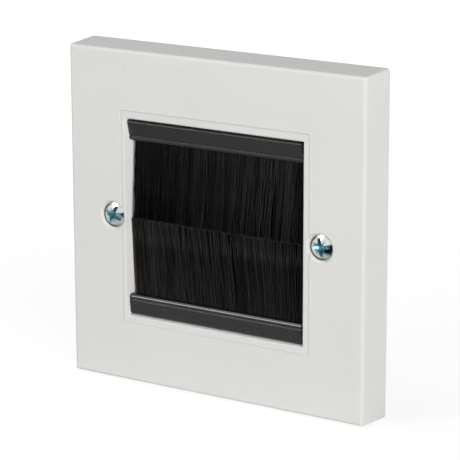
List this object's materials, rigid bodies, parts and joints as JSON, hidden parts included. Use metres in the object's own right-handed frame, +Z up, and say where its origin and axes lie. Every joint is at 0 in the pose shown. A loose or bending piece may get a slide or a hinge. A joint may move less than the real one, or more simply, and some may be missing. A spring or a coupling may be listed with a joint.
{
  "type": "brush wall plate",
  "caption": "White square moulded wall plate with a clip-in black brush outlet that cables pass through, fixed by two countersunk screws.",
  "frame": {"origin": "middle of the plate on the wall plane, halfway between the two fixing screws", "axes": "X to the right and Z up as the plate is seen on the wall, +Y into the wall, so the front faces -Y"},
  "size_m": [0.086, 0.026, 0.086],
  "materials": {
    "white_plate": "warm white moulded plastic with a low satin gloss and faint flow marks",
    "white_insert": "slightly cooler white moulded plastic with a low satin gloss",
    "black_holder": "black extruded plastic with a soft satin sheen and faint lines along its length",
    "black_nylon": "fine black nylon filaments with thin highlights",
    "galvanised_steel": "dull galvanised steel",
    "zinc_screw": "bright zinc plate with a pale blue-green passivated tint"
  },
  "bodies": {
    "root": {"faceplate": "white_plate", "brush_frame": "white_insert", "upper_brush_holder": "black_holder", "lower_brush_holder": "black_holder", "upper_strip_channel": "galvanised_steel", "lower_strip_channel": "galvanised_steel", "upper_core_wire": "galvanised_steel", "lower_core_wire": "galvanised_steel", "upper_bristles": "black_nylon", "lower_bristles": "black_nylon", "fixing_screws": "zinc_screw"}
  },
  "joints": []
}
